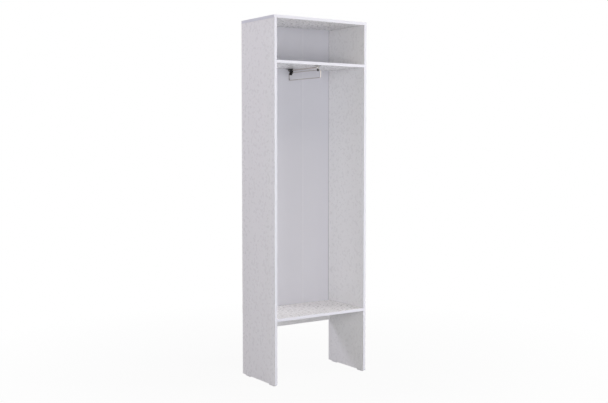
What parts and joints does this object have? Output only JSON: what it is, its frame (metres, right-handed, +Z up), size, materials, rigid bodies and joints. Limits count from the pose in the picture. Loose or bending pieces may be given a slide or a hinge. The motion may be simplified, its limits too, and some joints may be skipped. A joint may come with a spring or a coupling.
{
  "type": "open hall wardrobe with bench",
  "caption": "Tall narrow open hall wardrobe: hat shelf, coat bay with a pull-out hanger rail across the depth, bench shelf and open shoe space below.",
  "frame": {"origin": "on the floor, in the middle of the footprint", "axes": "+Z up, -Y towards someone who stands in front, +X to that person's right"},
  "size_m": [0.62, 0.3444, 2],
  "materials": {
    "white_laminate": "satin",
    "edge_band": "satin",
    "hardboard": "matte",
    "white_plastic": "matte",
    "chrome_steel": "polished",
    "zinc_steel": "satin",
    "black_plastic": "matte",
    "beech": "raw"
  },
  "bodies": {
    "carcass": {"left_side_panel": "white_laminate", "right_side_panel": "white_laminate", "top_panel": "white_laminate", "hat_shelf": "white_laminate", "bench_shelf": "white_laminate", "rear_stretcher": "white_laminate", "left_side_front_band": "edge_band", "right_side_front_band": "edge_band", "top_front_band": "edge_band", "top_left_band": "edge_band", "top_right_band": "edge_band", "hat_shelf_front_band": "edge_band", "bench_shelf_front_band": "edge_band", "stretcher_bottom_band": "edge_band", "back_sheet_left": "hardboard", "back_sheet_middle": "hardboard", "back_sheet_right": "hardboard", "back_joint_strip_left": "white_plastic", "back_joint_strip_right": "white_plastic", "glide_front_left": "white_plastic", "glide_front_right": "white_plastic", "glide_rear_left": "white_plastic", "glide_rear_right": "white_plastic", "rail_front_bracket": "zinc_steel", "rail_rear_bracket": "zinc_steel", "rail_guide_bar": "chrome_steel", "rail_front_bush": "black_plastic", "bracket_screw_front_left": "zinc_steel", "bracket_screw_front_right": "zinc_steel", "bracket_screw_rear_left": "zinc_steel", "bracket_screw_rear_right": "zinc_steel", "top_screw_front_left": "zinc_steel", "top_screw_front_right": "zinc_steel", "top_screw_rear_left": "zinc_steel", "top_screw_rear_right": "zinc_steel", "hat_shelf_bolt_front_left": "zinc_steel", "hat_shelf_bolt_front_right": "zinc_steel", "hat_shelf_bolt_rear_left": "zinc_steel", "hat_shelf_bolt_rear_right": "zinc_steel", "hat_shelf_cam_front_left": "zinc_steel", "hat_shelf_cam_front_right": "zinc_steel", "hat_shelf_cam_rear_left": "zinc_steel", "hat_shelf_cam_rear_right": "zinc_steel", "bench_bolt_front_left": "zinc_steel", "bench_bolt_front_right": "zinc_steel", "bench_bolt_rear_left": "zinc_steel", "bench_bolt_rear_right": "zinc_steel", "bench_cam_front_left": "zinc_steel", "bench_cam_front_right": "zinc_steel", "bench_cam_rear_left": "zinc_steel", "bench_cam_rear_right": "zinc_steel", "stretcher_bolt_left": "zinc_steel", "stretcher_bolt_right": "zinc_steel", "stretcher_cam_left": "zinc_steel", "stretcher_cam_right": "zinc_steel", "stretcher_dowel_left": "beech", "stretcher_dowel_right": "beech"},
    "pull_out_hanger": {"slider_block": "black_plastic", "hanger_loop": "chrome_steel"}
  },
  "joints": [
    {"name": "hanger_pull_out", "type": "slide", "parent": "carcass", "child": "pull_out_hanger", "axis": [0, -1, 0], "range_m": [0, 0.24]}
  ]
}
